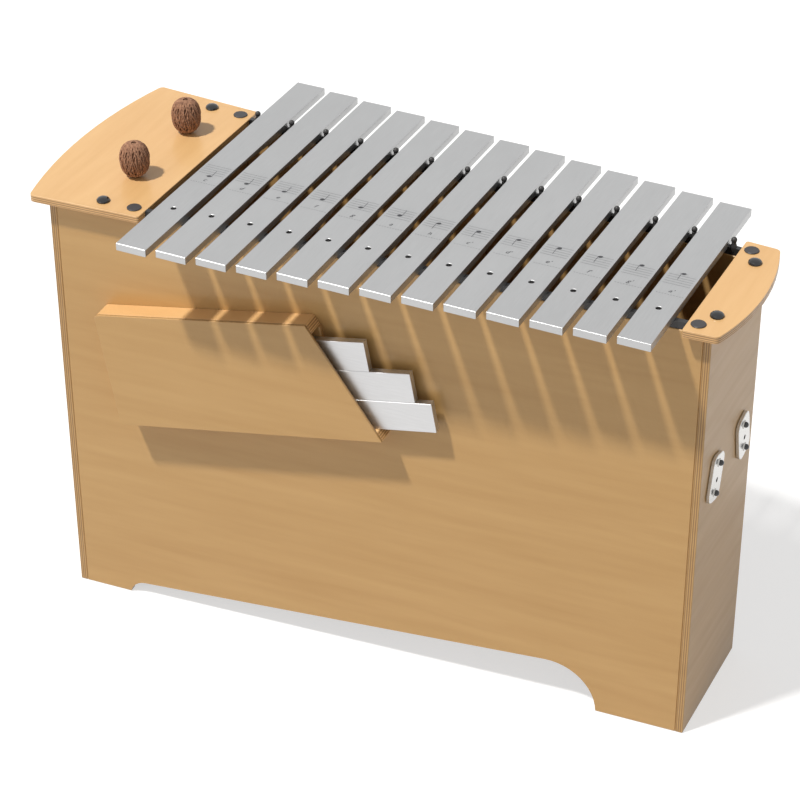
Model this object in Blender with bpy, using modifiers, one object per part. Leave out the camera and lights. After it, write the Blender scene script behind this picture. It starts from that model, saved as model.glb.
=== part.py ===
"""Bass metallophone: a tapered plywood box with thirteen tone bars, spare bars and two mallets.

Metres, +Z up, +X towards the high notes, -Y towards the player.
The origin lies on the floor, under the middle of the whole instrument.
"""
from math import acos, atan, atan2, cos, pi, radians, sin, sqrt

import bmesh
import bpy
from mathutils import Matrix, Vector

# Clearances
SEAT_GAP = 0.0003
BORE_GAP = 0.0003
STICK_HOLE_GAP = 0.0015

# Plywood
PANEL_THICKNESS = 0.0095
BOARD_THICKNESS = 0.0095
INNER_THICKNESS = 0.008
EDGE_BREAK = 0.0007

# Tone bars, from the longest and lowest to the shortest and highest
BAR_NAMES = ("c", "d", "e", "f", "g", "a", "h", "c1", "d1", "e1", "f1", "g1", "a1")
BAR_WIDTH = 0.040
BAR_THICKNESS = 0.010
BAR_GAP = 0.0106
BAR_LONGEST = 0.4618
BAR_SHORTENING = 0.01053
BAR_CHAMFER = 0.0006
BAR_HOLE_RADIUS = 0.0036
BAR_HOLE_FLARE = 0.0006
UNDERCUT_DEEPEST = 0.0050
UNDERCUT_LEAST = 0.0012
UNDERCUT_SHARE = 0.42

# Box: half its depth at each end, its height, and the room beside the row of bars
HALF_DEPTH_LEFT = 0.1446
HALF_DEPTH_RIGHT = 0.0927
PANEL_HEIGHT = 0.5845
LEFT_BAY = 0.1308
RIGHT_BAY = 0.0306
FIRST_BAR_GAP = 0.0171
LAST_BAR_GAP = 0.0148

# Cut-out between the feet of the front and the back panel
FOOT_LEFT = 0.075
FOOT_RIGHT = 0.114
CUT_HEIGHT_LEFT = 0.0170
CUT_HEIGHT_RIGHT = 0.0678
CUT_RADIUS_LEFT = 0.024
CUT_RADIUS_RIGHT = 0.065

# Resonator floor and walls
FLOOR_HEIGHT = 0.085
CLEAT_SIDE = 0.015
PARTITION_DROP = 0.030
BAY_WALL_INSET = 0.004

# Top boards
BOARD_OVERHANG = 0.015
LEFT_END_OVERHANG = 0.0173
RIGHT_END_OVERHANG = 0.0120
LEFT_BULGE = 0.0203
RIGHT_BULGE = 0.0174
BOARD_CORNER_RADIUS = 0.007
BOARD_INNER_RADIUS = 0.003

# Rubber rails, the pins through the bars and the posts between them
RAIL_WIDTH = 0.007
RAIL_HEIGHT = 0.0094
PIN_RADIUS = 0.0021
PIN_DROP = 0.0016
POST_CLEARANCE = 0.0015
POST_WAIST = 0.0008
POST_RISE = 0.0028
POST_FOOT_RADIUS = 0.0044
POST_FOOT_RISE = 0.0045
TIP_FLAT = 0.7
TIP_FALL = 0.25
TIP_EDGE = 0.8

# Screws through the top boards, and the caps over the sunk ones
DOME_HEAD_RADIUS = 0.0084
DOME_HEAD_HEIGHT = 0.0055
DOME_RIM = 0.18
SCREW_RADIUS = 0.0020
SCREW_LENGTH = 0.030
SUNK_HEAD_RADIUS = 0.0042
SUNK_HEAD_HEIGHT = 0.0026
SINK_DEPTH = 0.0048
CAP_RADIUS = 0.0091
CAP_THICKNESS = 0.0012
CAP_PLUG_LENGTH = 0.0012
CAP_SHIFT = 0.0013
LEFT_DOME_INSET = 0.0580
LEFT_CAP_INSET = 0.0155
RIGHT_CAP_INSET = 0.0130
RIGHT_DOME_SPREAD = 0.0648

# Mallets
MALLET_INSET = 0.0761
MALLET_SPREAD = 0.064
MALLET_HEAD_RADIUS = 0.0196
MALLET_HEAD_HEIGHT = 0.0500
MALLET_WIDEST = 0.47
MALLET_SEAT_RADIUS = 0.0110
MALLET_DIMPLE = 0.0022
STICK_RADIUS = 0.0050
STICK_LENGTH = 0.355
STICK_SOCKET = 0.034

# Holder for the spare bars, tilted on the front panel
HOLDER_TILT = radians(10.2)
HOLDER_INSET = 0.0951
HOLDER_LIFT = 0.2931
HOLDER_LENGTH = 0.3628
HOLDER_SLANT = 0.0719
HOLDER_HEADROOM = 0.0126
HOLDER_STRIP = 0.0125
HOLDER_END = 0.0075
HOLDER_BACK = 0.009
HOLDER_BACK_LENGTH = 0.299
HOLDER_SLOT = 0.016
HOLDER_FRONT = 0.004
HOLDER_CORNER_RADIUS = 0.006

# Spare bars, by their place between the tone bars, lowest in the holder first
SPARE_BARS = (("spare_bar_f_sharp", 3.5), ("spare_bar_b_flat", 5.5), ("spare_bar_f_sharp_high", 10.5))

# Coupling plates on the right end panel
PLATE_LENGTH = 0.062
PLATE_WIDTH = 0.037
PLATE_DEPTH = 0.005
PLATE_SHEET = 0.0015
PLATE_CORNER_RADIUS = 0.011
PLATE_RING_RADIUS = 0.0056
PLATE_RING_HEIGHT = 0.0010
PLATE_SCREW_SPAN = 0.039
PLATE_HOLE_RADIUS = 0.0033
PLATE_HOLE_DROP = 0.0028
PLATE_TILT = radians(13.3)
PLATE_SPREAD = 0.0485
PLATE_HEIGHT = 0.3637
PLATE_SCREW_HEAD_RADIUS = 0.0038
PLATE_SCREW_HEAD_HEIGHT = 0.0042
PLATE_SCREW_RADIUS = 0.0016
PLATE_SCREW_BITE = 0.0065

# Facets
ROUND_STEPS = 12
SCREW_STEPS = 14
POST_STEPS = 10
HEAD_STEPS = 24
STICK_STEPS = 12
EDGE_STEPS = 12
CUTTER_OVERRUN = 0.004

# Sizes worked out from those above
BAR_COUNT = len(BAR_NAMES)
BAR_PITCH = BAR_WIDTH + BAR_GAP
BAR_ROW = (BAR_COUNT - 1) * BAR_PITCH + BAR_WIDTH
BOX_LENGTH = LEFT_BAY + FIRST_BAR_GAP + BAR_ROW + LAST_BAR_GAP + RIGHT_BAY
TAPER = (HALF_DEPTH_LEFT - HALF_DEPTH_RIGHT) / BOX_LENGTH
TAPER_ANGLE = atan(TAPER)
LEFT_REACH = LEFT_END_OVERHANG + LEFT_BULGE
RIGHT_REACH = RIGHT_END_OVERHANG + RIGHT_BULGE
LEFT_FACE_X = LEFT_REACH - (LEFT_REACH + BOX_LENGTH + RIGHT_REACH) / 2
RIGHT_FACE_X = LEFT_FACE_X + BOX_LENGTH
BOARD_BOTTOM = PANEL_HEIGHT + SEAT_GAP
BOARD_TOP = BOARD_BOTTOM + BOARD_THICKNESS
RAIL_TOP = PANEL_HEIGHT + SEAT_GAP + RAIL_HEIGHT
BAR_BOTTOM = RAIL_TOP + SEAT_GAP
BAR_TOP = BAR_BOTTOM + BAR_THICKNESS
RAIL_START_X = LEFT_FACE_X + LEFT_BAY + SEAT_GAP
RAIL_END_X = RIGHT_FACE_X - RIGHT_BAY - SEAT_GAP
POST_RADIUS = BAR_GAP / 2 - POST_CLEARANCE
HOLDER_HEIGHT = 2 * HOLDER_STRIP + len(SPARE_BARS) * (BAR_WIDTH + SEAT_GAP) + HOLDER_HEADROOM

# Colours, roughness and metallic value of each finish
FINISHES = {
    "birch_ply": ((0.62, 0.40, 0.20), 0.50, 0.0),
    "board_ply": ((0.82, 0.52, 0.25), 0.42, 0.0),
    "inner_ply": ((0.50, 0.33, 0.17), 0.60, 0.0),
    "aluminium": ((0.66, 0.66, 0.65), 0.38, 1.0),
    "black_rubber": ((0.02, 0.02, 0.02), 0.60, 0.0),
    "black_gloss": ((0.01, 0.01, 0.01), 0.12, 0.0),
    "black_cap": ((0.04, 0.035, 0.04), 0.45, 0.0),
    "zinc_screw": ((0.70, 0.68, 0.62), 0.35, 1.0),
    "bright_steel": ((0.80, 0.79, 0.77), 0.30, 1.0),
    "wound_yarn": ((0.30, 0.14, 0.08), 0.90, 0.0),
    "beech_stick": ((0.72, 0.50, 0.28), 0.45, 0.0),
}


# Scene, collections and materials

def start_scene():
    """Empties the scene and returns the collection of the parts and that of the cutters."""
    for item in list(bpy.data.objects):
        bpy.data.objects.remove(item, do_unlink=True)
    parts = bpy.data.collections.new("bass_metallophone")
    cutters = bpy.data.collections.new("cutters")
    for group in (parts, cutters):
        bpy.context.scene.collection.children.link(group)
    return parts, cutters


def make_material(name):
    """A Principled material with the finish's own values."""
    colour, roughness, metallic = FINISHES[name]
    material = bpy.data.materials.new(name)
    material.use_nodes = True
    shader = material.node_tree.nodes["Principled BSDF"]
    shader.inputs["Base Color"].default_value = (*colour, 1.0)
    shader.inputs["Roughness"].default_value = roughness
    shader.inputs["Metallic"].default_value = metallic
    material.diffuse_color = (*colour, 1.0)
    return material


PARTS, CUTTERS = start_scene()
MATERIALS = {name: make_material(name) for name in FINISHES}


def add_part(name, mesh, finish, matrix=None):
    """Adds a finished piece with its material."""
    piece = bpy.data.objects.new(name, mesh)
    PARTS.objects.link(piece)
    piece.matrix_world = matrix or Matrix.Identity(4)
    mesh.materials.clear()
    mesh.materials.append(MATERIALS[finish])
    return piece


def add_cutter(name, mesh, matrix=None):
    """Adds a form that cuts or joins a piece and is no piece itself."""
    cutter = bpy.data.objects.new(name, mesh)
    CUTTERS.objects.link(cutter)
    cutter.matrix_world = matrix or Matrix.Identity(4)
    cutter.hide_render = True
    cutter.display_type = "WIRE"
    return cutter


# Outlines

def arc(centre, radius, start, end, steps):
    """Points of an arc, both ends included."""
    turns = [start + (end - start) * step / steps for step in range(steps + 1)]
    return [(centre[0] + radius * cos(turn), centre[1] + radius * sin(turn)) for turn in turns]


def rounded(corners, steps=4):
    """An outline whose corners (x, y, radius) are rounded where the radius isn't zero."""
    points = []
    for index, (x, y, radius) in enumerate(corners):
        corner = Vector((x, y))
        before = (Vector(corners[index - 1][:2]) - corner).normalized()
        after = (Vector(corners[(index + 1) % len(corners)][:2]) - corner).normalized()
        if radius == 0:
            points.append((x, y))
            continue
        half = acos(max(-1.0, min(1.0, before.dot(after)))) / 2
        centre = corner + (before + after).normalized() * (radius / sin(half))
        start = corner + before * (radius * cos(half) / sin(half)) - centre
        end = corner + after * (radius * cos(half) / sin(half)) - centre
        first = atan2(start.y, start.x)
        sweep = (atan2(end.y, end.x) - first + pi) % (2 * pi) - pi
        points += arc(centre, radius, first, first + sweep, steps)
    return points


def prism(points, low, high):
    """The mesh of a flat outline, closed, from the height low to the height high."""
    curve = bpy.data.curves.new("outline", "CURVE")
    curve.dimensions = "2D"
    curve.fill_mode = "BOTH"
    curve.extrude = (high - low) / 2
    spline = curve.splines.new("POLY")
    spline.points.add(len(points) - 1)
    for point, (x, y) in zip(spline.points, points):
        point.co = (x, y, 0, 1)
    spline.use_cyclic_u = True
    holder = bpy.data.objects.new("outline", curve)
    CUTTERS.objects.link(holder)
    bpy.context.view_layer.update()
    mesh = bpy.data.meshes.new_from_object(holder.evaluated_get(bpy.context.evaluated_depsgraph_get()))
    bpy.data.objects.remove(holder, do_unlink=True)
    weld_mesh(mesh)
    mesh.transform(Matrix.Translation((0, 0, (low + high) / 2)))
    return mesh


def weld_mesh(mesh):
    """Joins the caps of an outline to its sides."""
    work = bmesh.new()
    work.from_mesh(mesh)
    bmesh.ops.remove_doubles(work, verts=work.verts, dist=0.00001)
    bmesh.ops.recalc_face_normals(work, faces=work.faces)
    work.to_mesh(mesh)
    work.free()


def turned_mesh(profile):
    """The mesh of a turned form's profile, from the axis at its top to the axis at its foot."""
    mesh = bpy.data.meshes.new("profile")
    points = [(radius, 0, height) for radius, height in profile]
    edges = [(index, index + 1) for index in range(len(points) - 1)]
    mesh.from_pydata(points, edges, [])
    return mesh


# Modifiers

def spin(piece, steps):
    """Turns a profile about its own Z axis."""
    screw = piece.modifiers.new("turned", "SCREW")
    screw.axis = "Z"
    screw.steps = steps
    screw.render_steps = steps
    screw.use_merge_vertices = True
    screw.merge_threshold = 0.00001
    screw.use_smooth_shade = True


def repeat(piece, count, offset):
    """Repeats a form along an offset."""
    row = piece.modifiers.new("row", "ARRAY")
    row.count = count
    row.use_relative_offset = False
    row.use_constant_offset = True
    row.constant_offset_displace = offset


def combine(piece, other, operation="DIFFERENCE"):
    """Cuts another form out of a piece, or joins it to the piece."""
    boolean = piece.modifiers.new(other.name, "BOOLEAN")
    boolean.operation = operation
    boolean.solver = "EXACT"
    boolean.object = other


def break_edges(piece, width, angle=40.0):
    """Takes the sharpness off the edges."""
    bevel = piece.modifiers.new("edges", "BEVEL")
    bevel.width = width
    bevel.segments = 1
    bevel.limit_method = "ANGLE"
    bevel.angle_limit = radians(angle)
    bevel.use_clamp_overlap = True


def turned(name, profile, finish, place, steps):
    """A turned piece, standing at a place or lying along a matrix."""
    matrix = place if isinstance(place, Matrix) else Matrix.Translation(place)
    piece = add_part(name, turned_mesh(profile), finish, matrix)
    spin(piece, steps)
    return piece


def turned_cutter(name, profile, place, steps):
    """A turned cutter, standing at a place or lying along a matrix."""
    matrix = place if isinstance(place, Matrix) else Matrix.Translation(place)
    cutter = add_cutter(name, turned_mesh(profile), matrix)
    spin(cutter, steps)
    return cutter


def rod(radius, low, high):
    """Profile of a plain cylinder."""
    return [(0, high), (radius, high), (radius, low), (0, low)]


def dome_head(radius, seat, height, steps):
    """Profile of a screw's domed head, down to its seat."""
    crown = height * (1 - DOME_RIM)
    turns = [pi / 2 * step / steps for step in range(steps + 1)]
    dome = [(radius * sin(turn), seat + height * DOME_RIM + crown * cos(turn)) for turn in turns]
    return dome + [(radius, seat)]


def shank(radius, seat, foot):
    """Profile of a screw below its head, down to its point."""
    return [(radius, seat), (radius, foot + 2 * radius), (0, foot)]


# Plan of the box

def face_y(x):
    """Half the box's depth at its outer faces."""
    return HALF_DEPTH_LEFT - TAPER * (x - LEFT_FACE_X)


def inner_y(x):
    """Half the room between the front and the back panel."""
    return face_y(x) - PANEL_THICKNESS / cos(TAPER_ANGLE)


def middle_y(x):
    """Half the distance between the middles of the front and the back panel."""
    return face_y(x) - PANEL_THICKNESS / cos(TAPER_ANGLE) / 2


def room_y(x):
    """Half the depth of an inner wall, with a gap to each panel."""
    return inner_y(x) - SEAT_GAP


def plan(start, end, half_width, low, high):
    """A block across the box, whose ends follow the taper."""
    points = [(start, -half_width(start)), (end, -half_width(end)),
              (end, half_width(end)), (start, half_width(start))]
    return prism(points, low, high)


def front_matrix():
    """From the front face's own axes, along, up and outwards, to the world's."""
    along = Vector((cos(TAPER_ANGLE), sin(TAPER_ANGLE), 0))
    up = Vector((0, 0, 1))
    axes = Matrix((along, up, along.cross(up))).transposed().to_4x4()
    return Matrix.Translation((LEFT_FACE_X, -HALF_DEPTH_LEFT, 0)) @ axes


def bar_x(place):
    """Middle of a tone bar, or of a spare bar's place between two of them."""
    return LEFT_FACE_X + LEFT_BAY + FIRST_BAR_GAP + BAR_WIDTH / 2 + place * BAR_PITCH


# Panels

def cut_out_line(along):
    """Height of the sloping top of the cut-out."""
    length = BOX_LENGTH / cos(TAPER_ANGLE) - FOOT_LEFT - FOOT_RIGHT
    return CUT_HEIGHT_LEFT + (CUT_HEIGHT_RIGHT - CUT_HEIGHT_LEFT) * (along - FOOT_LEFT) / length


def cut_out_corner(foot, radius, side):
    """Centre of the round corner that meets the foot and the sloping top of the cut-out."""
    slope = cut_out_line(1) - cut_out_line(0)
    slant = sqrt(1 + slope * slope)
    centre = foot + side * radius
    if cut_out_line(centre) - radius * slant >= 0:
        return centre, cut_out_line(centre) - radius * slant
    level = cut_out_line(0) - radius * slant
    half = foot - slope * level
    root = sqrt(half * half - slant * slant * (foot * foot + level * level - radius * radius))
    centre = (half + side * root) / (slant * slant)
    return centre, slope * centre + level


def cut_out_cutter():
    """Prism that opens the front and the back panel between their feet."""
    right_foot = BOX_LENGTH / cos(TAPER_ANGLE) - FOOT_RIGHT
    left = cut_out_corner(FOOT_LEFT, CUT_RADIUS_LEFT, 1)
    right = cut_out_corner(right_foot, CUT_RADIUS_RIGHT, -1)
    lean = pi / 2 + atan(cut_out_line(1) - cut_out_line(0))
    left_start = atan2(max(0, -left[1]), FOOT_LEFT - left[0])
    right_end = atan2(max(0, -right[1]), right_foot - right[0])
    points = [(FOOT_LEFT, -CUTTER_OVERRUN)]
    points += [(FOOT_LEFT, 0)] if left[1] > 0 else []
    points += arc(left, CUT_RADIUS_LEFT, left_start, lean, ROUND_STEPS // 2)
    points += arc(right, CUT_RADIUS_RIGHT, lean, right_end, ROUND_STEPS)
    points += [(right_foot, 0)] if right[1] > 0 else []
    points += [(right_foot, -CUTTER_OVERRUN)]
    reach = 2 * HALF_DEPTH_LEFT
    return add_cutter("cut_out", prism(points, -PANEL_THICKNESS - CUTTER_OVERRUN, reach), front_matrix())


def panel(name, side, bores):
    """Front or back panel, between the end panels, with screw holes in its top edge."""
    start = LEFT_FACE_X + PANEL_THICKNESS + SEAT_GAP
    end = RIGHT_FACE_X - PANEL_THICKNESS - SEAT_GAP
    points = [(start, side * inner_y(start)), (end, side * inner_y(end)),
              (end, side * face_y(end)), (start, side * face_y(start))]
    piece = add_part(name, prism(points, 0, PANEL_HEIGHT), "birch_ply")
    break_edges(piece, EDGE_BREAK)
    opening = cut_out_cutter()
    if side > 0:
        opening.name = "cut_out_back"
        opening.matrix_world = Matrix.Scale(-1, 4, (0, 1, 0)) @ opening.matrix_world
    combine(piece, opening)
    for label, x, shift in bores:
        place = (x, side * (middle_y(x) + shift), 0)
        combine(piece, screw_bore(name + label, place, PANEL_HEIGHT))
    return piece


def screw_bore(name, place, top):
    """Hole for a screw, down from a height."""
    depth = SCREW_LENGTH - BOARD_THICKNESS + CUTTER_OVERRUN
    profile = rod(SCREW_RADIUS + BORE_GAP, top - depth, top + CUTTER_OVERRUN)
    return turned_cutter(name + "_bore", profile, place, SCREW_STEPS)


def end_panel(name, start):
    """End panel, as deep as the box, whose edges show at the front and the back."""
    piece = add_part(name, plan(start, start + PANEL_THICKNESS, face_y, 0, PANEL_HEIGHT), "birch_ply")
    break_edges(piece, EDGE_BREAK)
    return piece


def inner_walls():
    """Resonator floor on its cleats, the wall of the mallet bay and the partition."""
    left = LEFT_FACE_X + PANEL_THICKNESS + SEAT_GAP
    right = RIGHT_FACE_X - PANEL_THICKNESS - SEAT_GAP
    floor_top = FLOOR_HEIGHT + INNER_THICKNESS
    add_part("bottom_board", plan(left, right, room_y, FLOOR_HEIGHT, floor_top), "inner_ply")
    for name, start in (("bottom_cleat_left", left), ("bottom_cleat_right", right - CLEAT_SIDE)):
        top = FLOOR_HEIGHT - SEAT_GAP
        block = plan(start, start + CLEAT_SIDE, room_y, top - CLEAT_SIDE, top)
        break_edges(add_part(name, block, "inner_ply"), EDGE_BREAK)
    bay_end = LEFT_FACE_X + LEFT_BAY - BAY_WALL_INSET
    wall = plan(bay_end - INNER_THICKNESS, bay_end, room_y, floor_top + SEAT_GAP, PANEL_HEIGHT)
    add_part("mallet_bay_wall", wall, "inner_ply")
    middle = (bar_x(0) + bar_x(BAR_COUNT - 1)) / 2
    partition = plan(middle - INNER_THICKNESS / 2, middle + INNER_THICKNESS / 2, room_y,
                     floor_top + SEAT_GAP, PANEL_HEIGHT - PARTITION_DROP)
    add_part("partition", partition, "inner_ply")


# Top boards with their screws and caps

def top_board(name, inner_x, corner_x, bulge):
    """Board over an end of the box, with a bowed outer edge."""
    side = 1 if corner_x > inner_x else -1
    edge = BOARD_OVERHANG / cos(TAPER_ANGLE)
    chord = face_y(corner_x) + edge
    radius = (chord * chord + bulge * bulge) / (2 * bulge)
    centre = corner_x + side * (bulge - radius)
    half = atan2(chord, radius - bulge)
    middle = 0 if side > 0 else pi
    outer = arc((centre, 0), radius, middle - side * half, middle + side * half, EDGE_STEPS)
    corners = [(inner_x, -face_y(inner_x) - edge, BOARD_INNER_RADIUS)]
    corners += [(x, y, BOARD_CORNER_RADIUS if index in (0, EDGE_STEPS) else 0)
                for index, (x, y) in enumerate(outer)]
    corners += [(inner_x, face_y(inner_x) + edge, BOARD_INNER_RADIUS)]
    piece = add_part(name, prism(rounded(corners), BOARD_BOTTOM, BOARD_TOP), "board_ply")
    break_edges(piece, EDGE_BREAK)
    return piece


def dome_screw(name, place, board):
    """Domed black screw through a top board."""
    x, y = place
    bore = rod(SCREW_RADIUS + BORE_GAP, BOARD_BOTTOM - CUTTER_OVERRUN, BOARD_TOP + CUTTER_OVERRUN)
    combine(board, turned_cutter(name + "_hole", bore, (x, y, 0), SCREW_STEPS))
    seat = BOARD_TOP + SEAT_GAP
    profile = dome_head(DOME_HEAD_RADIUS, seat, DOME_HEAD_HEIGHT, 5)
    profile += shank(SCREW_RADIUS, seat, BOARD_TOP - SCREW_LENGTH)
    turned(name, profile, "black_gloss", (x, y, 0), SCREW_STEPS)


def sunk_screw(name, cap_name, place, board):
    """Sunk screw through a top board, under a flat cap."""
    x, y = place
    floor = BOARD_TOP - SINK_DEPTH
    sink = [(0, BOARD_TOP + CUTTER_OVERRUN), (SUNK_HEAD_RADIUS + BORE_GAP, BOARD_TOP + CUTTER_OVERRUN),
            (SUNK_HEAD_RADIUS + BORE_GAP, floor), (SCREW_RADIUS + BORE_GAP, floor),
            (SCREW_RADIUS + BORE_GAP, BOARD_BOTTOM - CUTTER_OVERRUN), (0, BOARD_BOTTOM - CUTTER_OVERRUN)]
    combine(board, turned_cutter(name + "_hole", sink, (x, y, 0), SCREW_STEPS))
    seat = floor + SEAT_GAP
    profile = dome_head(SUNK_HEAD_RADIUS, seat, SUNK_HEAD_HEIGHT, 3)
    profile += shank(SCREW_RADIUS, seat, BOARD_TOP - SCREW_LENGTH)
    turned(name, profile, "zinc_screw", (x, y, 0), SCREW_STEPS)
    low = BOARD_TOP + SEAT_GAP
    cap = [(0, low + CAP_THICKNESS), (CAP_RADIUS - CAP_THICKNESS / 2, low + CAP_THICKNESS),
           (CAP_RADIUS, low + CAP_THICKNESS / 2), (CAP_RADIUS, low),
           (SUNK_HEAD_RADIUS, low), (SUNK_HEAD_RADIUS, BOARD_TOP - CAP_PLUG_LENGTH),
           (0, BOARD_TOP - CAP_PLUG_LENGTH)]
    turned(cap_name, cap, "black_cap", (x, y, 0), SCREW_STEPS)


# Rails

def rail(name, side):
    """Rubber strip on the top edge of the front or the back panel."""
    half = RAIL_WIDTH / cos(TAPER_ANGLE) / 2
    corners = ((RAIL_START_X, -half), (RAIL_END_X, -half), (RAIL_END_X, half), (RAIL_START_X, half))
    points = [(x, side * middle_y(x) + across) for x, across in corners]
    return add_part(name, prism(points, PANEL_HEIGHT + SEAT_GAP, RAIL_TOP), "black_rubber")


def front_rail():
    """Front rail with a pin for the hole of each tone bar."""
    strip = rail("front_rail", -1)
    top = BAR_TOP - PIN_DROP
    root = PANEL_HEIGHT + RAIL_HEIGHT / 2
    tip = [(0, top), (PIN_RADIUS * TIP_FLAT, top - PIN_RADIUS * TIP_FALL),
           (PIN_RADIUS, top - PIN_RADIUS * TIP_EDGE)]
    pin = tip + [(PIN_RADIUS, root), (0, root)]
    first = bar_x(0)
    pins = turned_cutter("front_pins", pin, (first, -middle_y(first), 0), POST_STEPS)
    repeat(pins, BAR_COUNT, (BAR_PITCH, TAPER * BAR_PITCH, 0))
    combine(strip, pins, "UNION")


def back_rail():
    """Back rail with a round-headed post on each side of each tone bar."""
    strip = rail("back_rail", 1)
    top = BAR_TOP + POST_RISE
    neck = top - 2 * POST_RADIUS
    root = PANEL_HEIGHT + RAIL_HEIGHT / 2
    ball = [(POST_RADIUS * sin(turn), top - POST_RADIUS * (1 - cos(turn)))
            for turn in (pi * step / 8 for step in range(7))]
    waist = POST_RADIUS - POST_WAIST
    post = ball + [(waist, neck + POST_WAIST), (waist, RAIL_TOP + POST_FOOT_RISE),
                   (POST_FOOT_RADIUS, RAIL_TOP), (POST_FOOT_RADIUS, root), (0, root)]
    first = bar_x(-0.5)
    posts = turned_cutter("back_posts", post, (first, middle_y(first), 0), POST_STEPS)
    repeat(posts, BAR_COUNT + 1, (BAR_PITCH, -TAPER * BAR_PITCH, 0))
    combine(strip, posts, "UNION")


# Bars

def bar_length(place):
    """Length of the bar at a place in the row."""
    return BAR_LONGEST - BAR_SHORTENING * place


def bar(name, place, matrix):
    """Tone bar with an undercut and one hole, its long axis along its own Y."""
    length = bar_length(place)
    depth = UNDERCUT_DEEPEST + (UNDERCUT_LEAST - UNDERCUT_DEEPEST) * place / (BAR_COUNT - 1)
    reach = length * UNDERCUT_SHARE / 2
    hollow = [(reach * share, depth * (1 + cos(pi * share)) / 2)
              for share in (step / 4 - 1 for step in range(9))]
    points = [(-length / 2, 0)] + hollow + [(length / 2, 0), (length / 2, BAR_THICKNESS),
                                            (-length / 2, BAR_THICKNESS)]
    side_view = Matrix(((0, 0, 1, 0), (1, 0, 0, 0), (0, 1, 0, 0), (0, 0, 0, 1)))
    mesh = prism(points, -BAR_WIDTH / 2, BAR_WIDTH / 2)
    mesh.transform(side_view)
    piece = add_part(name, mesh, "aluminium", matrix)
    break_edges(piece, BAR_CHAMFER)
    flare = BAR_HOLE_RADIUS + BAR_HOLE_FLARE
    above = BAR_THICKNESS + CUTTER_OVERRUN
    hole = [(0, above), (flare + CUTTER_OVERRUN, above), (BAR_HOLE_RADIUS, BAR_THICKNESS - BAR_HOLE_FLARE),
            (BAR_HOLE_RADIUS, -CUTTER_OVERRUN), (0, -CUTTER_OVERRUN)]
    at = matrix @ Matrix.Translation((0, -middle_y(bar_x(place)), 0))
    combine(piece, turned_cutter(name + "_hole", hole, at, ROUND_STEPS))
    return piece


def tone_bars():
    """The row of bars, each lying on both rails."""
    for place, note in enumerate(BAR_NAMES):
        bar("tone_bar_" + note, place, Matrix.Translation((bar_x(place), 0, BAR_BOTTOM)))


# Holder with the spare bars

def holder_matrix():
    """From the holder's own axes, along, up and outwards, to the world's."""
    corner = Matrix.Translation((HOLDER_INSET, HOLDER_LIFT, 0))
    return front_matrix() @ corner @ Matrix.Rotation(HOLDER_TILT, 4, "Z")


def slant_at(height):
    """Length of the holder at a height above its lower edge."""
    return HOLDER_LENGTH - HOLDER_SLANT * height / HOLDER_HEIGHT


def holder_piece(name, corners, back, thickness):
    """A flat piece of the holder from its corners (along, up, radius)."""
    piece = add_part(name, prism(rounded(corners), back, back + thickness), "birch_ply", holder_matrix())
    break_edges(piece, EDGE_BREAK)


def holder():
    """Open-ended box of plywood for the spare bars, cut off at a slant at its open end."""
    slot = SEAT_GAP + HOLDER_BACK + SEAT_GAP
    depth = HOLDER_BACK + SEAT_GAP + HOLDER_SLOT
    high, low_strip, high_strip = HOLDER_HEIGHT, HOLDER_STRIP, HOLDER_HEIGHT - HOLDER_STRIP
    low, top = low_strip + SEAT_GAP, high_strip - SEAT_GAP
    radius = HOLDER_CORNER_RADIUS
    bottom = [(0, 0, radius), (slant_at(0), 0, 0), (slant_at(low_strip), low_strip, 0), (0, low_strip, 0)]
    holder_piece("holder_bottom", bottom, SEAT_GAP, depth)
    upper = [(0, high_strip, 0), (slant_at(high_strip), high_strip, 0), (slant_at(high), high, 0), (0, high, radius)]
    holder_piece("holder_top", upper, SEAT_GAP, depth)
    end = [(0, low, 0), (HOLDER_END, low, 0), (HOLDER_END, top, 0), (0, top, 0)]
    holder_piece("holder_end", end, SEAT_GAP, depth)
    start = HOLDER_END + SEAT_GAP
    back = [(start, low, 0), (HOLDER_BACK_LENGTH, low, 0), (HOLDER_BACK_LENGTH, top, 0), (start, top, 0)]
    holder_piece("holder_back", back, SEAT_GAP, HOLDER_BACK)
    front = [(0, 0, radius), (slant_at(0), 0, 0), (slant_at(high), high, 0), (0, high, radius)]
    holder_piece("holder_front", front, slot + HOLDER_SLOT + SEAT_GAP, HOLDER_FRONT)


def spare_bars():
    """Spare bars on edge in the holder, one on top of the other, against its closed end."""
    lying = Matrix(((0, 1, 0, 0), (-1, 0, 0, 0), (0, 0, 1, 0), (0, 0, 0, 1)))
    outwards = SEAT_GAP + HOLDER_BACK + SEAT_GAP
    for level, (name, place) in enumerate(SPARE_BARS):
        along = HOLDER_END + SEAT_GAP + bar_length(place) / 2
        up = HOLDER_STRIP + SEAT_GAP + BAR_WIDTH / 2 + level * (BAR_WIDTH + SEAT_GAP)
        bar(name, place, holder_matrix() @ Matrix.Translation((along, up, outwards)) @ lying)


# Mallets

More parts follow.
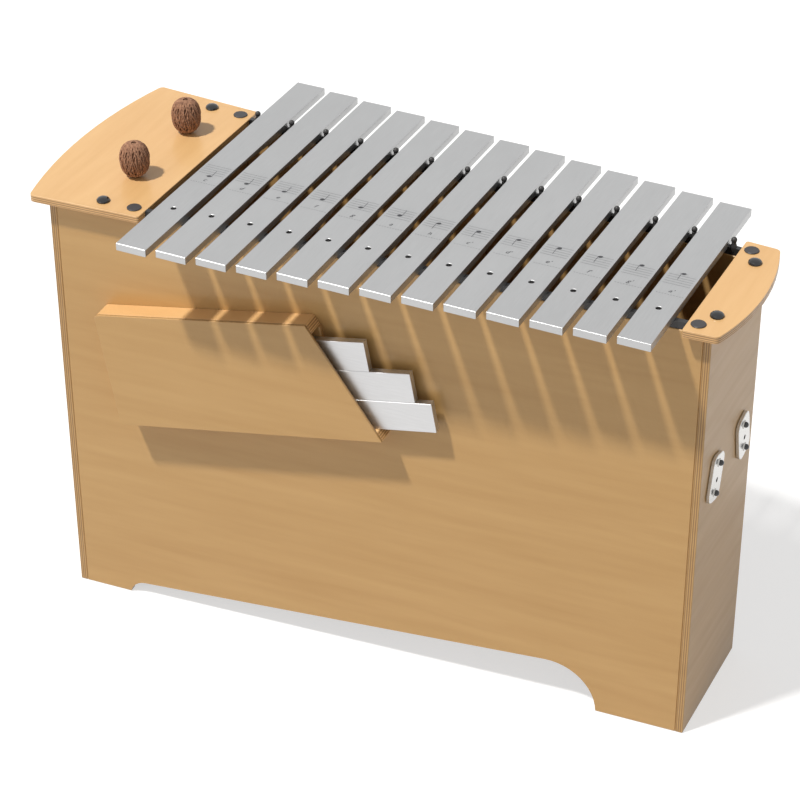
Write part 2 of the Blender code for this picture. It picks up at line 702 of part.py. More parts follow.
def mallet(label, side, board):
    """Mallet stored upright: its stick hangs in a hole of the left board."""
    x, y = LEFT_FACE_X + MALLET_INSET, side * MALLET_SPREAD
    way = rod(STICK_RADIUS + STICK_HOLE_GAP, BOARD_BOTTOM - CUTTER_OVERRUN, BOARD_TOP + CUTTER_OVERRUN)
    combine(board, turned_cutter("mallet_way_" + label, way, (x, y, 0), ROUND_STEPS + 4))
    base = BOARD_TOP + SEAT_GAP
    middle = base + MALLET_HEAD_HEIGHT * MALLET_WIDEST
    rise = base + MALLET_HEAD_HEIGHT - middle
    upper = [(MALLET_HEAD_RADIUS * sin(turn), middle + rise * cos(turn))
             for turn in (pi / 2 * step / 7 for step in range(1, 8))]
    seat = acos(MALLET_SEAT_RADIUS / MALLET_HEAD_RADIUS)
    fall = (middle - base) / sin(seat)
    lower = [(MALLET_HEAD_RADIUS * cos(turn), middle - fall * sin(turn))
             for turn in (seat * step / 5 for step in range(1, 6))]
    socket = STICK_RADIUS + BORE_GAP
    bottom = [(socket, base), (socket, base + STICK_SOCKET), (0, base + STICK_SOCKET)]
    dimple = [(0, base + MALLET_HEAD_HEIGHT - MALLET_DIMPLE)]
    turned("mallet_head_" + label, dimple + upper + lower + bottom, "wound_yarn", (x, y, 0), HEAD_STEPS)
    tip = base + STICK_SOCKET - SEAT_GAP
    foot = tip - STICK_LENGTH
    stick = [(0, tip), (STICK_RADIUS, tip)]
    stick += [(STICK_RADIUS * cos(turn), foot + STICK_RADIUS * (1 - sin(turn)))
              for turn in (pi / 2 * step / 3 for step in range(3))]
    turned("mallet_stick_" + label, stick + [(0, foot)], "beech_stick", (x, y, 0), STICK_STEPS)


# Coupling plates

def plate_matrix(side):
    """From a plate's own axes, across, along and outwards, to the world's."""
    axes = Matrix(((0, 0, 1, 0), (1, 0, 0, 0), (0, 1, 0, 0), (0, 0, 0, 1)))
    place = Matrix.Translation((RIGHT_FACE_X, side * PLATE_SPREAD, PLATE_HEIGHT))
    return place @ axes @ Matrix.Rotation(side * PLATE_TILT, 4, "Z")


def rectangle(width, length, radius):
    """Upright rectangle about its middle, with round corners."""
    across, along = width / 2, length / 2
    return rounded([(-across, -along, radius), (across, -along, radius),
                    (across, along, radius), (-across, along, radius)], 3)


def coupling_plate(label, side, end_panel_right):
    """Pressed steel plate, hollow behind, with a hole and two domed screws on raised rings."""
    matrix = plate_matrix(side)
    outline = rectangle(PLATE_WIDTH, PLATE_LENGTH, PLATE_CORNER_RADIUS)
    top = SEAT_GAP + PLATE_DEPTH
    plate = add_part("coupling_plate_" + label, prism(outline, SEAT_GAP, top), "bright_steel", matrix)
    break_edges(plate, EDGE_BREAK)
    inside = rectangle(PLATE_WIDTH - 2 * PLATE_SHEET, PLATE_LENGTH - 2 * PLATE_SHEET,
                       PLATE_CORNER_RADIUS - PLATE_SHEET)
    hollow = prism(inside, SEAT_GAP - CUTTER_OVERRUN, top - PLATE_SHEET)
    combine(plate, add_cutter("plate_hollow_" + label, hollow, matrix))
    hole = turned_cutter("plate_hole_" + label, rod(PLATE_HOLE_RADIUS, 0, top + CUTTER_OVERRUN),
                         matrix @ Matrix.Translation((0, -PLATE_HOLE_DROP, 0)), ROUND_STEPS)
    combine(plate, hole)
    for word, end in (("upper", 1), ("lower", -1)):
        name = "plate_screw_" + label + "_" + word
        at = matrix @ Matrix.Translation((0, end * PLATE_SCREW_SPAN / 2, 0))
        ring = rod(PLATE_RING_RADIUS, top - PLATE_SHEET / 2, top + PLATE_RING_HEIGHT)
        combine(plate, turned_cutter(name + "_ring", ring, at, ROUND_STEPS), "UNION")
        bore = rod(PLATE_SCREW_RADIUS + BORE_GAP, -PLATE_SCREW_BITE - CUTTER_OVERRUN / 4, top + CUTTER_OVERRUN)
        cutter = turned_cutter(name + "_bore", bore, at, ROUND_STEPS)
        combine(plate, cutter)
        combine(end_panel_right, cutter)
        seat = top + PLATE_RING_HEIGHT + SEAT_GAP
        profile = dome_head(PLATE_SCREW_HEAD_RADIUS, seat, PLATE_SCREW_HEAD_HEIGHT, 4)
        profile += shank(PLATE_SCREW_RADIUS, seat, -PLATE_SCREW_BITE)
        turned(name, profile, "black_gloss", at, ROUND_STEPS)


# Assembly

def build():
    """Makes every piece in its place."""
    left_dome_x = LEFT_FACE_X + LEFT_BAY - LEFT_DOME_INSET
    left_cap_x = LEFT_FACE_X + LEFT_BAY - LEFT_CAP_INSET
    right_cap_x = RIGHT_FACE_X - RIGHT_BAY + RIGHT_CAP_INSET
    right_dome_x = RIGHT_FACE_X - PANEL_THICKNESS / 2
    bores = (("_left_dome", left_dome_x, 0), ("_left_cap", left_cap_x, CAP_SHIFT),
             ("_right_cap", right_cap_x, CAP_SHIFT))
    panel("front_panel", -1, bores)
    panel("back_panel", 1, bores)
    end_panel("end_panel_left", LEFT_FACE_X)
    right_end = end_panel("end_panel_right", RIGHT_FACE_X - PANEL_THICKNESS)
    inner_walls()
    left_board = top_board("top_board_left", LEFT_FACE_X + LEFT_BAY, LEFT_FACE_X - LEFT_END_OVERHANG, LEFT_BULGE)
    right_board = top_board("top_board_right", RIGHT_FACE_X - RIGHT_BAY, RIGHT_FACE_X + RIGHT_END_OVERHANG,
                            RIGHT_BULGE)
    for label, side in (("front", -1), ("back", 1)):
        dome_screw("dome_screw_left_" + label, (left_dome_x, side * middle_y(left_dome_x)), left_board)
        sunk_screw("sunk_screw_left_" + label, "screw_cap_left_" + label,
                   (left_cap_x, side * (middle_y(left_cap_x) + CAP_SHIFT)), left_board)
        sunk_screw("sunk_screw_right_" + label, "screw_cap_right_" + label,
                   (right_cap_x, side * (middle_y(right_cap_x) + CAP_SHIFT)), right_board)
        right_dome = (right_dome_x, side * RIGHT_DOME_SPREAD)
        dome_screw("dome_screw_right_" + label, right_dome, right_board)
        combine(right_end, screw_bore("right_dome_" + label, (*right_dome, 0), PANEL_HEIGHT))
        mallet(label, side, left_board)
        coupling_plate(label, side, right_end)
    front_rail()
    back_rail()
    tone_bars()
    holder()
    spare_bars()


build()
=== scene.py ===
"""Studio picture of the bass metallophone, with its finishes, bar marks, camera and lights."""
from math import cos, pi, radians, sin

import bpy
from mathutils import Matrix, Vector


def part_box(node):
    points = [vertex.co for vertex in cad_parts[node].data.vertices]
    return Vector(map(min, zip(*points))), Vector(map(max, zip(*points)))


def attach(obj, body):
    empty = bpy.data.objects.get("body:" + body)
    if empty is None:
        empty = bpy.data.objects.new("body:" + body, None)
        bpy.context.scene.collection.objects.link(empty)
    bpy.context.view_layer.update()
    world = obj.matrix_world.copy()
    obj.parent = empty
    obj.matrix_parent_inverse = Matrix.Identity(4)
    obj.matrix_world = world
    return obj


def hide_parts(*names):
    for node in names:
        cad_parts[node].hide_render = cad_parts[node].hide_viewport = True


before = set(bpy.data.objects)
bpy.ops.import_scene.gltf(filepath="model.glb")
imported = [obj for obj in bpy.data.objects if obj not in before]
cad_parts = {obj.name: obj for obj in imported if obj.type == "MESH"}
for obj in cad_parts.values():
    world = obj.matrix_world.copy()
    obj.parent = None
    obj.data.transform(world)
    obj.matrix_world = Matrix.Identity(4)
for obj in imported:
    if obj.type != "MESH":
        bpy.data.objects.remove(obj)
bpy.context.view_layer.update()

# Places of the case, which narrows to the right
TAPER = radians(3.5334)
FRONT_SLOPE = 0.061749
CASE_CORNER = Vector((-0.41615, -0.1446, 0))
BACK_CORNER = Vector((-0.41615, 0.1446, 0))
RIGHT = Vector((1, 0, 0))
UP = Vector((0, 0, 1))
ALONG = Vector((cos(TAPER), sin(TAPER), 0))
FRONT = Vector((sin(TAPER), -cos(TAPER), 0))
BACK = Vector((sin(TAPER), cos(TAPER), 0))
PANEL = 0.0095
GAP = 0.0003

# Places of the tilted holder on the front panel
TILT = radians(10.2)
HOLDER_START = 0.0951
HOLDER_FOOT = 0.2931
HOLDER_ALONG = ALONG * cos(TILT) + UP * sin(TILT)
HOLDER_UP = UP * cos(TILT) - ALONG * sin(TILT)
HOLDER_CORNER = CASE_CORNER + ALONG * HOLDER_START + UP * HOLDER_FOOT
HOLDER_DEPTH = 0.0259
HOLDER_RISE = 0.146
HOLDER_PLATE = 0.004
HOLDER_BOARD = 0.009
HOLDER_STRIP = 0.0125
HOLDER_END = 0.0075

# Places of the tone bars
BAR_TOP = 0.6045
FIRST_BAR_X = -0.24825
BAR_PITCH = 0.0506


# Shader arithmetic

class Value:
    """The output of a shader node, with arithmetic."""

    def __init__(self, nodes, source=None):
        self.nodes = nodes
        self.source = source

    def make(self, kind, inputs, output=0, **settings):
        """A new node, fed from values or constants."""
        node = self.nodes.new(kind)
        for name, setting in settings.items():
            setattr(node, name, setting)
        for key, value in inputs.items():
            if isinstance(value, Value):
                self.nodes.id_data.links.new(value.source, node.inputs[key])
            else:
                node.inputs[key].default_value = value
        return Value(self.nodes, node.outputs[output])

    def math(self, operation, *others):
        """One step of arithmetic on numbers."""
        inputs = {0: self}
        inputs.update({index + 1: other for index, other in enumerate(others)})
        return self.make("ShaderNodeMath", inputs, operation=operation)

    def __add__(self, other):
        return self.math("ADD", other)

    def __sub__(self, other):
        return self.math("SUBTRACT", other)

    def __rsub__(self, other):
        return self * -1 + other

    def __mul__(self, other):
        return self.math("MULTIPLY", other)

    __radd__ = __add__
    __rmul__ = __mul__

    def clamp(self, low=0.0, high=1.0):
        """The value, kept between two limits."""
        return self.math("MAXIMUM", low).math("MINIMUM", high)

    def steps(self, low, high):
        """0 below low, 1 above high, smooth between."""
        return self.make("ShaderNodeMapRange", {0: self, 1: low, 2: high, 3: 0.0, 4: 1.0},
                         interpolation_type="SMOOTHSTEP")

    def along(self, direction):
        """Distance of a point along a direction."""
        return self.make("ShaderNodeVectorMath", {0: self, 1: direction}, output=1, operation="DOT_PRODUCT")

    def stretched(self, scales):
        """The point, scaled by axis."""
        return self.make("ShaderNodeVectorMath", {0: self, 1: scales}, operation="MULTIPLY")

    def noise(self, scales, detail):
        """Soft noise of a point, between about 0.2 and 0.8."""
        return self.make("ShaderNodeTexNoise", {"Vector": self.stretched(scales), "Scale": 1.0,
                                                "Detail": detail, "Roughness": 0.6})

    def mix(self, low, high):
        """The colour between two, by this value. Mix names its sockets alike, so they go by number."""
        return self.make("ShaderNodeMix", {0: self, 6: low, 7: high}, output=2, data_type="RGBA")


def colour(red, green, blue):
    """A colour with full alpha."""
    return (red, green, blue, 1.0)


def shaded(base, share, lift=0.0):
    """A colour made darker or lighter by a share, and lifted."""
    return colour(*(part * share + lift for part in base[:3]))


def new_material(name):
    """A material and its shader."""
    material = bpy.data.materials.new(name)
    material.use_nodes = True
    return material, material.node_tree.nodes["Principled BSDF"]


def point_on(material):
    """The point that is shaded, in the object's own metres."""
    return Value(material.node_tree.nodes).make("ShaderNodeTexCoord", {}, output="Object")


def feed(node, name, value):
    """Feeds an input of a shader or of the background from a value or a constant."""
    if isinstance(value, Value):
        value.nodes.id_data.links.new(value.source, node.inputs[name])
    else:
        node.inputs[name].default_value = value


def bump(shader, height, strength, distance):
    """Raises the surface by a value."""
    feed(shader, "Normal", height.make("ShaderNodeBump", {"Strength": strength, "Distance": distance,
                                                          "Height": height}))


# Finishes

NOISE_MIDDLE = 0.5
NOISE_EDGES = (0.3, 0.7)

# Each wood is its light and its deep face colour, and the colour of its dark layers
BIRCH = (colour(0.57, 0.345, 0.134), colour(0.47, 0.265, 0.090), colour(0.20, 0.10, 0.038))
BOARD = (colour(0.74, 0.46, 0.205), colour(0.64, 0.37, 0.15), colour(0.24, 0.11, 0.038))
INNER = (colour(0.46, 0.29, 0.13), colour(0.38, 0.22, 0.09), colour(0.20, 0.10, 0.04))
LEVEL_GRAIN = (7, 40, 90)
UPRIGHT_GRAIN = (40, 7, 90)
BOARD_GRAIN = (110, 12, 110)
STICK_GRAIN = (200, 200, 14)
CLOUD_SCALE = 0.25
CLOUD_CONTRAST = 1.1
FIBRE_CONTRAST = 0.7
WOOD_ROUGHNESS = 0.36
FIBRE_ROUGHNESS = 0.12
VARNISH = 0.15

# How the layers show at a board's edges
LAYER_GRAIN = (60, 60, 60)
LAYER_WANDER = 0.05
LAYER_EDGES = (0.35, 0.65)
LAYER_DARKNESS = 0.75
FACE_EDGES = (0.08, 0.12)
BOARD_END = 0.001


def ply(name, woods, normal, start, thickness, plies, grain):
    """Plywood, or plain wood as one layer: cloudy faces with dark layers between them."""
    light, deep, layer = woods
    material, shader = new_material(name)
    point = point_on(material)
    depth = (point.along(normal) - start) * (1 / thickness)
    wander = (point.noise(LAYER_GRAIN, detail=2.0) - NOISE_MIDDLE) * LAYER_WANDER
    wavy = (depth + wander).clamp(BOARD_END, 1 - BOARD_END)
    band = (wavy * plies).math("PINGPONG", 1.0).steps(*LAYER_EDGES)
    inside = depth.steps(*FACE_EDGES) * (1 - depth).steps(*FACE_EDGES)
    clouds = point.noise([scale * CLOUD_SCALE for scale in grain], detail=2.0)
    fibres = point.noise(grain, detail=4.0)
    figure = (clouds - NOISE_MIDDLE) * CLOUD_CONTRAST + (fibres - NOISE_MIDDLE) * FIBRE_CONTRAST
    face = (figure + NOISE_MIDDLE).clamp().mix(light, deep)
    feed(shader, "Base Color", (band * inside * LAYER_DARKNESS).mix(face, layer))
    feed(shader, "Roughness", fibres * FIBRE_ROUGHNESS + WOOD_ROUGHNESS)
    feed(shader, "Coat Weight", VARNISH)
    bump(shader, fibres, strength=0.05, distance=0.0004)
    return material


METAL_CLOUDS = (9, 3, 9)
HAIR_SHARE = 0.6
HAIR_ROUGHNESS = 0.16
METAL_SHADE = 0.90


def metal(name, base, rough, grain):
    """Brushed metal, with hairs along its grain."""
    material, shader = new_material(name)
    point = point_on(material)
    hairs = point.noise(grain, detail=3.0)
    clouds = point.noise(METAL_CLOUDS, detail=2.0)
    sheen = (hairs * HAIR_SHARE + clouds * (1 - HAIR_SHARE)).steps(*NOISE_EDGES)
    feed(shader, "Base Color", sheen.mix(shaded(base, METAL_SHADE), base))
    feed(shader, "Roughness", hairs * HAIR_ROUGHNESS + rough)
    feed(shader, "Metallic", 1.0)
    bump(shader, hairs, strength=0.04, distance=0.0002)
    return material


SPECK_GRAIN = (500, 500, 500)
SPECK_SHARE = 1.25
SPECK_LIFT = 0.002
SPECK_ROUGHNESS = 0.10


def plain(name, base, rough, metallic=0.0, coat=0.0):
    """A plain finish with a faint unevenness."""
    material, shader = new_material(name)
    specks = point_on(material).noise(SPECK_GRAIN, detail=2.0)
    feed(shader, "Base Color", specks.mix(base, shaded(base, SPECK_SHARE, SPECK_LIFT)))
    feed(shader, "Roughness", specks * SPECK_ROUGHNESS + rough)
    feed(shader, "Metallic", metallic)
    feed(shader, "Coat Weight", coat)
    return material


STRAND_GRAIN = (260, 260, 420)
TUFT_GRAIN = (1500, 1500, 1500)
TUFT_SHARE = 0.4
# The darker wool is partly the wool's own uneven tone and partly painted shade where the strands lie low
WOOL_WITH_PAINTED_SHADE = colour(0.20, 0.095, 0.055)
LIGHT_WOOL = colour(0.42, 0.22, 0.13)


def yarn(name):
    """Wound wool of a mallet head."""
    material, shader = new_material(name)
    point = point_on(material)
    strands = point.noise(STRAND_GRAIN, detail=3.0)
    tufts = point.noise(TUFT_GRAIN, detail=2.0)
    # Darker where the strands lie low and lighter on their raised tops: partly the wool's uneven tone,
    # partly painted shade between the strands
    feed(shader, "Base Color", strands.steps(*NOISE_EDGES).mix(WOOL_WITH_PAINTED_SHADE, LIGHT_WOOL))
    feed(shader, "Roughness", 0.9)
    bump(shader, strands + tufts * TUFT_SHARE, strength=0.4, distance=0.0006)
    return material


def dress(node, material):
    """Puts a material on a node of the model."""
    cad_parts[node].material_slots[0].material = material


def finish_slanted_boards():
    """Plywood for the boards that lie aslant to the axes: the long panels and the holder."""
    front = FRONT.dot(CASE_CORNER)
    back = BACK.dot(BACK_CORNER)
    up = HOLDER_UP.dot(HOLDER_CORNER)
    along = HOLDER_ALONG.dot(HOLDER_CORNER)
    # node, wood, direction of the layers, where they start, thickness, layers
    rows = (
        ("front_panel", BIRCH, FRONT, front - PANEL, PANEL, 7),
        ("back_panel", BIRCH, BACK, back - PANEL, PANEL, 7),
        ("holder_front", BIRCH, FRONT, front + HOLDER_DEPTH, HOLDER_PLATE, 3),
        ("holder_back", BIRCH, FRONT, front + GAP, HOLDER_BOARD, 7),
        ("holder_bottom", BOARD, HOLDER_UP, up, HOLDER_STRIP, 9),
        ("holder_top", BOARD, HOLDER_UP, up + HOLDER_RISE, HOLDER_STRIP, 9),
        ("holder_end", BIRCH, HOLDER_ALONG, along, HOLDER_END, 5),
    )
    for node, woods, normal, start, thickness, plies in rows:
        dress(node, ply("wood_" + node, woods, normal, start, thickness, plies, LEVEL_GRAIN))


def finish_square_boards():
    """Plywood for the boards whose thickness lies along an axis."""
    # node, wood, direction of the layers, layers, grain
    rows = (
        ("end_panel_left", BIRCH, RIGHT, 7, UPRIGHT_GRAIN),
        ("end_panel_right", BIRCH, RIGHT, 7, UPRIGHT_GRAIN),
        ("top_board_left", BOARD, UP, 7, BOARD_GRAIN),
        ("top_board_right", BOARD, UP, 7, BOARD_GRAIN),
        ("bottom_board", INNER, UP, 5, LEVEL_GRAIN),
        ("bottom_cleat_left", INNER, UP, 1, BOARD_GRAIN),
        ("bottom_cleat_right", INNER, UP, 1, BOARD_GRAIN),
        ("mallet_bay_wall", INNER, RIGHT, 5, UPRIGHT_GRAIN),
        ("partition", INNER, RIGHT, 5, UPRIGHT_GRAIN),
    )
    for node, woods, normal, plies, grain in rows:
        low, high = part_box(node)
        start = low.dot(normal)
        thickness = high.dot(normal) - start
        dress(node, ply("wood_" + node, woods, normal, start, thickness, plies, grain))


# The sticks are one layer, which shows darker above its middle
STICK_WOOD_START = 0.2
STICK_WOOD_LENGTH = 0.5


def finish_hardware():
    """Gives the bars, rubbers, screws, plates and mallets their finishes."""
    bars = metal("brushed_bars", colour(0.50, 0.503, 0.505), rough=0.30, grain=(900, 30, 900))
    spares = metal("brushed_spare_bars", colour(0.62, 0.62, 0.625), rough=0.32, grain=(30, 400, 900))
    steel = metal("bright_steel", colour(0.66, 0.65, 0.63), rough=0.16, grain=(60, 500, 500))
    rubber = plain("rubber", colour(0.018, 0.017, 0.017), rough=0.42)
    gloss = plain("gloss_black", colour(0.006, 0.006, 0.007), rough=0.08, coat=0.3)
    caps = plain("matt_caps", colour(0.030, 0.027, 0.029), rough=0.40)
    zinc = plain("zinc", colour(0.55, 0.53, 0.46), rough=0.35, metallic=1.0)
    wool = yarn("wound_yarn")
    sticks = ply("beech", BOARD, UP, STICK_WOOD_START, STICK_WOOD_LENGTH, 1, STICK_GRAIN)
    finishes = (("tone_bar", bars), ("spare_bar", spares), ("front_rail", rubber), ("back_rail", rubber),
                ("dome_screw", gloss), ("plate_screw", gloss), ("screw_cap", caps), ("sunk_screw", zinc),
                ("coupling_plate", steel), ("mallet_head", wool), ("mallet_stick", sticks))
    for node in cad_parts:
        for start, material in finishes:
            if node.startswith(start):
                dress(node, material)
    for label in ("front", "back"):
        wound_head(label, wool)


def joined(pieces, name, material):
    """One object from several, at the origin, with one finish."""
    bpy.ops.object.select_all(action="DESELECT")
    for piece in pieces:
        piece.select_set(True)
    bpy.context.view_layer.objects.active = pieces[0]
    bpy.ops.object.join()
    bpy.ops.object.transform_apply(location=True, rotation=True, scale=True)
    whole = bpy.context.object
    whole.name = name
    whole.data.materials.clear()
    whole.data.materials.append(material)
    return whole


# Marks on the tone bars

# Ending of the bar's name, letter, and the note's place in half gaps above the lowest line
NOTES = (("c", "c", -2), ("d", "d", -1), ("e", "e", 0), ("f", "f", 1), ("g", "g", 2), ("a", "a", 3),
         ("h", "h", 4), ("c1", "c'", 5), ("d1", "d'", 6), ("e1", "e'", 7), ("f1", "f'", 8),
         ("g1", "g'", 9), ("a1", "a'", 10))
MARK_LIFT = 0.0001
STAFF_BACK = 0.0930
STAFF_SHIFT = 0.00312
STAFF_LINES = 5
STAFF_GAP = 0.00525
STAFF_LENGTH = 0.0335
LINE_WIDTH = 0.00042
LEDGER_LENGTH = 0.010
LEDGER_STEPS = (-2, 10)
DASHES = 10
DASH_DROP = 0.0237
DASH_START = 0.0145
DASH_PITCH = 0.0035
DASH_LENGTH = 0.0020
DASH_WIDTH = 0.0005
NOTE_RADIUS = 0.0024
NOTE_SIDES = 20
NOTE_SHAPE = (1.25, 0.85, 1)
NOTE_TILT = 0.35
MIDDLE_STEP = 4
STEM_LENGTH = 0.0145
STEM_WIDTH = 0.0006
STEM_SIDE = 0.0028
LETTER_DROP = 0.0185
LETTER_SIZE = 0.0095
LETTER_SLANT = 0.3


def flat(x, y, width, depth):
    """A flat mark on top of a bar."""
    bpy.ops.mesh.primitive_plane_add(size=1, location=(x, y, BAR_TOP + MARK_LIFT))
    bpy.context.object.scale = (width, depth, 1)
    return bpy.context.object


def staff_marks(x, staff, step):
    """The lines of a staff, the dashes under them, and a short line for a note above or below."""
    marks = [flat(x, staff + line * STAFF_GAP, STAFF_LENGTH, LINE_WIDTH) for line in range(STAFF_LINES)]
    for dash in range(DASHES):
        marks.append(flat(x - DASH_START + dash * DASH_PITCH, staff - DASH_DROP, DASH_LENGTH, DASH_WIDTH))
    if step in LEDGER_STEPS:
        marks.append(flat(x, staff + step * STAFF_GAP / 2, LEDGER_LENGTH, LINE_WIDTH))
    return marks


def note_marks(x, staff, step, letter):
    """The head of a note, its stem, and its letter in front of the staff."""
    head_y = staff + step * STAFF_GAP / 2
    bpy.ops.mesh.primitive_circle_add(vertices=NOTE_SIDES, radius=NOTE_RADIUS, fill_type="NGON",
                                      rotation=(0, 0, NOTE_TILT),
                                      location=(x, head_y, BAR_TOP + 2 * MARK_LIFT))
    head = bpy.context.object
    head.scale = NOTE_SHAPE
    side = 1 if step < MIDDLE_STEP else -1
    stem = flat(x + side * STEM_SIDE, head_y + side * STEM_LENGTH / 2, STEM_WIDTH, STEM_LENGTH)
    bpy.ops.object.text_add(location=(x, staff - LETTER_DROP, BAR_TOP + MARK_LIFT))
    text = bpy.context.object.data
    text.body = letter
    text.size = LETTER_SIZE
    text.align_x = "CENTER"
    text.shear = LETTER_SLANT
    bpy.ops.object.convert(target="MESH")
    return [head, stem, bpy.context.object]


def mark_bar(place, node, letter, step, inks):
    """Marks one bar, with its staff as one piece and its note and letter as another."""
    x = FIRST_BAR_X + place * BAR_PITCH
    hole_y = CASE_CORNER.y + FRONT_SLOPE * (x - CASE_CORNER.x) + PANEL / 2
    staff = hole_y + STAFF_BACK - STAFF_SHIFT * place
    faint = joined(staff_marks(x, staff, step), "staff_" + node, inks[0])
    strong = joined(note_marks(x, staff, step, letter), "note_" + node, inks[1])
    for piece in (faint, strong):
        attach(piece, "bar_" + node)


def mark_bars():
    """Marks every bar, in faint ink for the staff and strong ink for the note."""
    inks = (plain("staff_ink", colour(0.10, 0.10, 0.11), rough=0.5),
            plain("note_ink", colour(0.03, 0.03, 0.035), rough=0.5))
    for place, (node, letter, step) in enumerate(NOTES):
        mark_bar(place, node, letter, step, inks)


# Wound mallet heads

HEAD_RADIUS = 0.0188
HEAD_HEIGHT = 0.0475
HEAD_FULLNESS = 0.85
DIMPLE_DEPTH = 0.10
DIMPLE_POWER = 8
CORE_INSET = 0.0016
CORE_DROP = 0.0028
CORE_SEGMENTS = 32
CORE_RINGS = 20
STRANDS = 84
STRAND_RADIUS = 0.00085
STRAND_STRETCHES = 17
STRAND_START = 0.13
STRAND_SWEEP = pi - 0.35

# How strands lie: their slant, and how far each strays to the side and in depth
STRAND_SLANT = 0.35
STRAY = 0.10
STRAY_TURN = 2.4
STRAY_WAVES = 3
WOBBLE = 0.0004
WOBBLE_TURN = 5.1
WOBBLE_WAVES = 4
STRAND_INSET = 1.2
CROSSING_INSET = 0.5


def yarn_point(turn, fall, family, index):
    """A point on a strand, from the dimple at the top round to the foot of the head."""
    swing = STRAND_SLANT * family * (fall - pi / 2) + STRAY * sin(index * STRAY_TURN + fall * STRAY_WAVES)
    wobble = WOBBLE * sin(index * WOBBLE_TURN + fall * WOBBLE_WAVES)
    inset = STRAND_RADIUS * (STRAND_INSET - CROSSING_INSET * family)
    radius = (HEAD_RADIUS - inset + wobble) * sin(fall) ** HEAD_FULLNESS
    height = HEAD_HEIGHT / 2 * cos(fall) * (1 - DIMPLE_DEPTH * cos(fall) ** DIMPLE_POWER)
    return Vector((radius * cos(turn + swing), radius * sin(turn + swing), height))


def yarn_strands(label, centre):
    """The strands of one head, every other one slanting the other way."""
    curve = bpy.data.curves.new("yarn_" + label, "CURVE")
    curve.dimensions = "3D"
    curve.bevel_depth = STRAND_RADIUS
    curve.bevel_resolution = 1
    for index in range(STRANDS):
        family = 1 if index % 2 else -1
        turn = 2 * pi * index / STRANDS
        spline = curve.splines.new("POLY")
        spline.points.add(STRAND_STRETCHES)
        for number, point in enumerate(spline.points):
            fall = STRAND_START + STRAND_SWEEP * number / STRAND_STRETCHES
            point.co = (*(centre + yarn_point(turn, fall, family, index)), 1)
    strands = bpy.data.objects.new("yarn_" + label, curve)
    bpy.context.scene.collection.objects.link(strands)
    bpy.ops.object.select_all(action="DESELECT")
    strands.select_set(True)
    bpy.context.view_layer.objects.active = strands
    bpy.ops.object.convert(target="MESH")
    return strands


def wound_head(label, wool):
    """Strands of yarn wound over a core, in place of the smooth head."""
    low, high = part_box("mallet_head_" + label)
    middle = (low + high) / 2
    centre = Vector((middle.x, middle.y, low.z + HEAD_HEIGHT / 2))
    strands = yarn_strands(label, centre)
    bpy.ops.mesh.primitive_uv_sphere_add(segments=CORE_SEGMENTS, ring_count=CORE_RINGS, radius=1,
                                         location=centre)
    core = bpy.context.object
    core.scale = (HEAD_RADIUS - CORE_INSET, HEAD_RADIUS - CORE_INSET, HEAD_HEIGHT / 2 - CORE_DROP)
    head = joined([strands, core], "yarn_" + label, wool)
    bpy.ops.object.shade_smooth()
    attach(head, "mallet_" + label)
    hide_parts("mallet_head_" + label)


# Floor, lights and camera

FLOOR_SIZE = 30
FLOOR_DROP = 0.0005
FLOOR_GREY = colour(0.45, 0.45, 0.45)
FLOOR_GLOW = colour(0.60, 0.60, 0.60)
BLACK = colour(0, 0, 0)
WHITE = colour(1.0, 1.0, 1.0)
SKY_LIGHT = 0.32
KEY_PLACE = Vector((-0.298, -0.378, 0.877))
KEY_POWER = 3.3
KEY_ANGLE = radians(4.0)
KEY_COLOUR = (1.0, 0.985, 0.96)
FILL_PLACE = Vector((-2.6, -3.4, 1.6))
FILL_POWER = 26
FILL_SIZE = 3.0
FLOOR_MIDDLE = Vector((0, 0, 0))
CASE_MIDDLE = Vector((0, 0, 0.45))


def background_rays(nodes):
    """1 for the rays that show the background, to the camera or in metal, 0 for those that light."""
    seen, glossy, through = (Value(nodes).make("ShaderNodeLightPath", {}, output=ray)
                             for ray in ("Is Camera Ray", "Is Glossy Ray", "Is Transmission Ray"))
    return (seen + glossy + through).clamp()


def white_floor():
    """The floor that the case stands on, which keeps its shadow."""
    bpy.ops.mesh.primitive_plane_add(size=FLOOR_SIZE, location=(0, 0, -FLOOR_DROP))
    floor = bpy.context.object
    floor.name = "floor"
    material, shader = new_material("white_floor")
    feed(shader, "Base Color", FLOOR_GREY)
    feed(shader, "Emission Color", background_rays(material.node_tree.nodes).mix(BLACK, FLOOR_GLOW))
    feed(shader, "Emission Strength", 1.0)
    feed(shader, "Roughness", 0.9)
    floor.data.materials.append(material)


def white_surroundings():
    """White all round, which lights the case less than it shows."""
    world = bpy.data.worlds.new("studio")
    bpy.context.scene.world = world
    world.use_nodes = True
    background = world.node_tree.nodes["Background"]
    feed(background, "Color", WHITE)
    feed(background, "Strength", background_rays(world.node_tree.nodes) * (1 - SKY_LIGHT) + SKY_LIGHT)


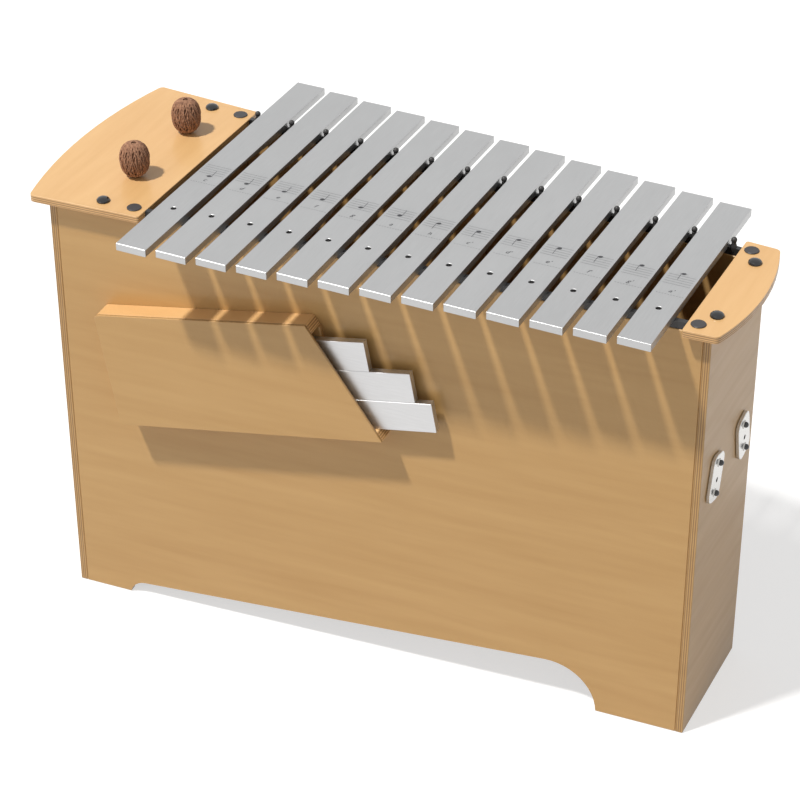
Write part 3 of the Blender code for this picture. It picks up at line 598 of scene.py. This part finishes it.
def lamp(name, kind, place, power, target):
    """A lamp at a place, aimed at a target."""
    light = bpy.data.lights.new(name, kind)
    light.energy = power
    holder = bpy.data.objects.new(name, light)
    bpy.context.scene.collection.objects.link(holder)
    holder.location = place
    holder.rotation_euler = (place - target).to_track_quat("Z", "Y").to_euler()
    return light


def lights():
    """A key light from the upper left front, and a large square lamp that fills its shadows."""
    key = lamp("key", "SUN", KEY_PLACE, KEY_POWER, FLOOR_MIDDLE)
    key.angle = KEY_ANGLE
    key.color = KEY_COLOUR
    fill = lamp("fill", "AREA", FILL_PLACE, FILL_POWER, CASE_MIDDLE)
    fill.shape = "SQUARE"
    fill.size = FILL_SIZE


CAMERA_PLACE = (1.17575, -2.456, 2.142)
CAMERA_AZIMUTH = radians(25.74)
CAMERA_ELEVATION = radians(32.99)
CAMERA_ROLL = radians(-0.12)
CAMERA_LENS = 116.667
CAMERA_SENSOR = 36
CAMERA_SHIFT = (-0.0006, -0.0446)
CAMERA_REACH = 100


def camera():
    """Camera at the photograph's place and angle."""
    level = Vector((sin(CAMERA_AZIMUTH), -cos(CAMERA_AZIMUTH), 0))
    back = level * cos(CAMERA_ELEVATION) + UP * sin(CAMERA_ELEVATION)
    right = Vector((cos(CAMERA_AZIMUTH), sin(CAMERA_AZIMUTH), 0))
    top = back.cross(right)
    rolled_right = right * cos(CAMERA_ROLL) + top * sin(CAMERA_ROLL)
    rolled_top = top * cos(CAMERA_ROLL) - right * sin(CAMERA_ROLL)
    data = bpy.data.cameras.new("camera")
    data.sensor_width = CAMERA_SENSOR
    data.lens = CAMERA_LENS
    data.shift_x, data.shift_y = CAMERA_SHIFT
    data.clip_end = CAMERA_REACH
    viewer = bpy.data.objects.new("camera", data)
    bpy.context.scene.collection.objects.link(viewer)
    matrix = Matrix((rolled_right, rolled_top, back)).transposed().to_4x4()
    matrix.translation = CAMERA_PLACE
    viewer.matrix_world = matrix
    bpy.context.scene.camera = viewer


finish_slanted_boards()
finish_square_boards()
finish_hardware()
mark_bars()
white_floor()
white_surroundings()
lights()
camera()
bpy.context.scene.view_settings.view_transform = "Standard"
